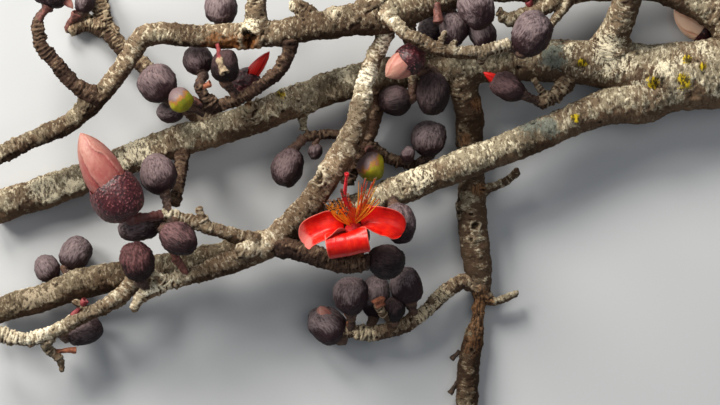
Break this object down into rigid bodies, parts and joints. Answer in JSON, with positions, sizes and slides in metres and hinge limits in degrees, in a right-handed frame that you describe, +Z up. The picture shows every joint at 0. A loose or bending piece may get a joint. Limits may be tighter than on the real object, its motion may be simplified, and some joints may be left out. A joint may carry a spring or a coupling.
{
  "type": "flowering silk cotton bough, cut",
  "caption": "Leafless cut bough of a silk cotton tree with forked limbs, ringed twigs, dark buds, opening buds and an open red flower, lying flat.",
  "frame": {"origin": "middle of the bough's box, on the ground it lies on", "axes": "+X along the bough towards the sawn end of the main bough, +Y across it towards the top limb, +Z up away from the ground"},
  "size_m": [0.8, 0.4536, 0.1573],
  "materials": {
    "bark": "rough grey-brown bark with pale lichen",
    "pale_bark": "pale cream ringed bark",
    "twig_bark": "ringed brown twig bark",
    "bud": "wrinkled dark calyx",
    "green_bud": "smooth yellow-green calyx",
    "opening_bud": "salmon petals in a warty calyx",
    "petal": "glossy scarlet petal",
    "stamens": "scarlet to orange filaments with dark tips",
    "calyx": "brown cup"
  },
  "bodies": {
    "root": {"bud_behind_flower": "bud", "bud_corner": "bud", "bud_far_left": "bud", "bud_far_left_small": "bud", "bud_flower_end": "bud", "bud_green_front": "green_bud", "bud_green_middle": "green_bud", "bud_left_middle": "bud", "bud_left_outer": "bud", "bud_left_upper": "bud", "bud_low_inner": "bud", "bud_low_left": "bud", "bud_low_left_end": "bud", "bud_low_right": "bud", "bud_low_upper": "bud", "bud_middle_left": "bud", "bud_ribbed": "bud", "bud_round": "bud", "bud_shoot_left": "bud", "bud_shoot_right": "bud", "bud_shoot_upper": "bud", "bud_short_twig": "bud", "bud_spur_end": "bud", "bud_spur_left": "bud", "bud_spur_lower": "bud", "bud_spur_upper": "bud", "bud_top_inner": "bud", "bud_top_left": "bud", "bud_top_middle": "bud", "bud_under_spur": "bud", "corner_twig": "twig_bark", "cross_limb": "pale_bark", "curved_twig": "twig_bark", "drooping_twig": "twig_bark", "flower_calyx": "calyx", "flower_petal_1": "petal", "flower_petal_2": "petal", "flower_petal_3": "petal", "flower_petal_4": "petal", "flower_petal_5": "petal", "flower_stamens": "stamens", "flower_twig": "twig_bark", "hanging_bough": "bark", "inner_twig": "twig_bark", "left_limb": "bark", "long_spur": "pale_bark", "low_twig": "twig_bark", "lower_bough": "bark", "lower_left_twig": "pale_bark", "main_bough": "bark", "middle_shoot": "twig_bark", "opening_bud_left": "opening_bud", "opening_bud_middle": "opening_bud", "opening_bud_right": "opening_bud", "opening_bud_top": "opening_bud", "rear_twig": "twig_bark", "short_twig": "twig_bark", "spur_twig": "pale_bark", "stub_limb": "bark", "top_limb": "bark"}
  },
  "joints": []
}
